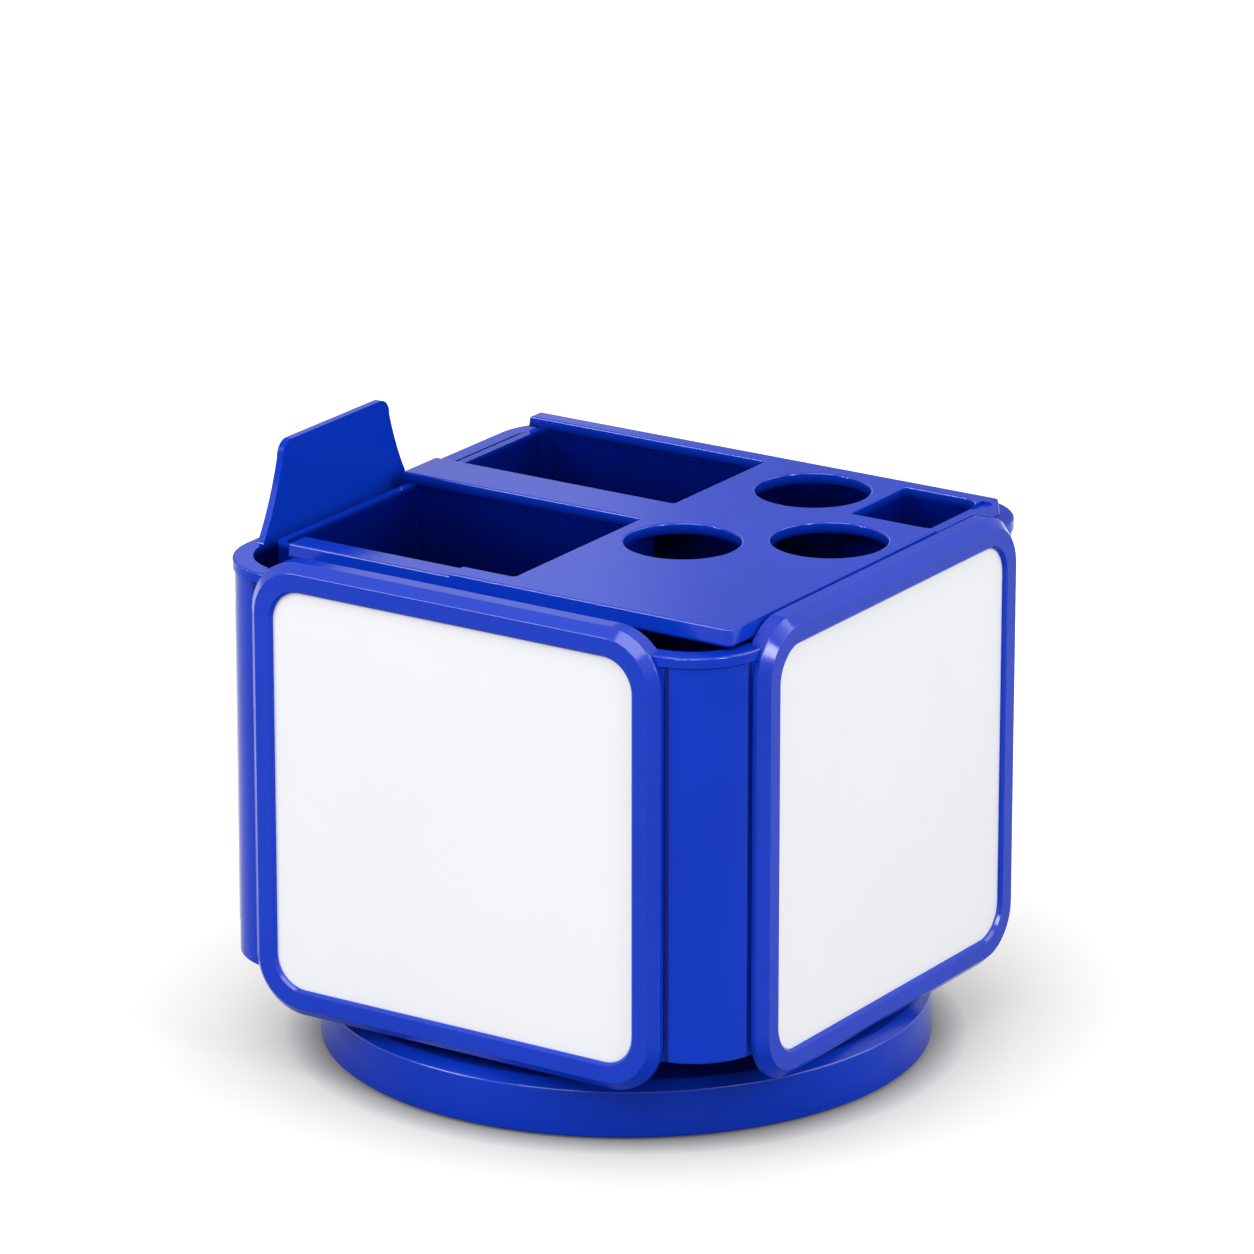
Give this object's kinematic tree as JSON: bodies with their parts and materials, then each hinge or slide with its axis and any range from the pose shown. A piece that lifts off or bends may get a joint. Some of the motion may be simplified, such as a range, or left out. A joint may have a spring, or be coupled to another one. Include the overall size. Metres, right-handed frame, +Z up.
{
  "type": "rotating pen stand",
  "caption": "Square desk pen stand that turns on a round base, with framed white sides and a deck of round pen holes over open square bins.",
  "frame": {"origin": "on the desk under the swivel axis, level with the soles of the rubber feet", "axes": "+Z up along the swivel axis, -Y out of the side with the large front bin, +X out of the side with the clip bin"},
  "size_m": [0.1016, 0.1016, 0.1],
  "materials": {
    "blue_plastic": "semi-gloss moulded royal blue",
    "white_sheet": "satin white coated sheet",
    "foot_rubber": "matt black moulded pad",
    "plated_steel": "zinc-plated fastener",
    "natural_acetal": "off-white slippery plastic"
  },
  "bodies": {
    "base": {"base_disc": "blue_plastic", "base_feet": "foot_rubber", "pivot_screw": "plated_steel", "pivot_washer": "plated_steel", "thrust_ring": "natural_acetal"},
    "stand": {"body_shell": "blue_plastic", "deck_cover": "blue_plastic", "front_bin": "blue_plastic", "back_bin": "blue_plastic", "clip_bin": "blue_plastic", "turntable": "blue_plastic", "frame_front": "blue_plastic", "insert_front": "white_sheet", "frame_right": "blue_plastic", "insert_right": "white_sheet", "frame_back": "blue_plastic", "insert_back": "white_sheet", "frame_left": "blue_plastic", "insert_left": "white_sheet", "turntable_screws": "plated_steel", "pivot_bush": "natural_acetal"}
  },
  "joints": [
    {"name": "swivel", "type": "hinge", "parent": "base", "child": "stand", "pos_m": [0, 0, 0.0103], "axis": [0, 0, 1], "continuous": true}
  ]
}
